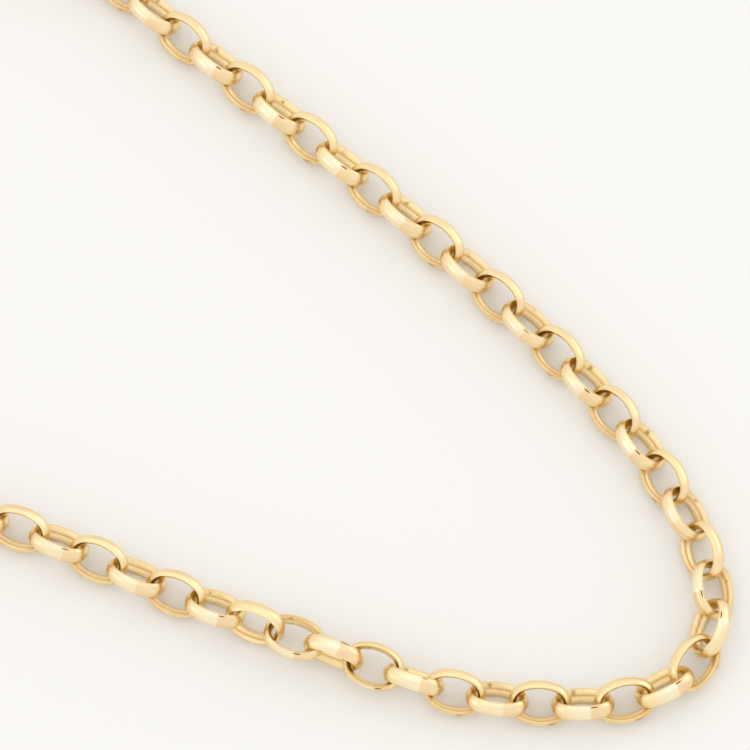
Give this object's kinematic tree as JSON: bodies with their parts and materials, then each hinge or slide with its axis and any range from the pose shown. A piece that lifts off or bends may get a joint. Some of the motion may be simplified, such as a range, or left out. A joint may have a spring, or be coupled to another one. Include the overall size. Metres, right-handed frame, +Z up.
{
  "type": "oval belcher neck chain",
  "caption": "Closed neck chain of oval half-round links lying as it would on a table, fastened with a plain bolt ring.",
  "frame": {"origin": "middle of the lying loop's outline, on the surface it lies on", "axes": "+X to the right along the loop, towards the bend that the picture shows, +Y away from the viewer, +Z up"},
  "size_m": [0.1878, 0.1126, 0.006],
  "materials": {
    "gold": "high polish, pale yellow gold"
  },
  "bodies": {
    "root": {"first_strand": "gold", "second_strand": "gold", "clasp": "gold"}
  },
  "joints": []
}
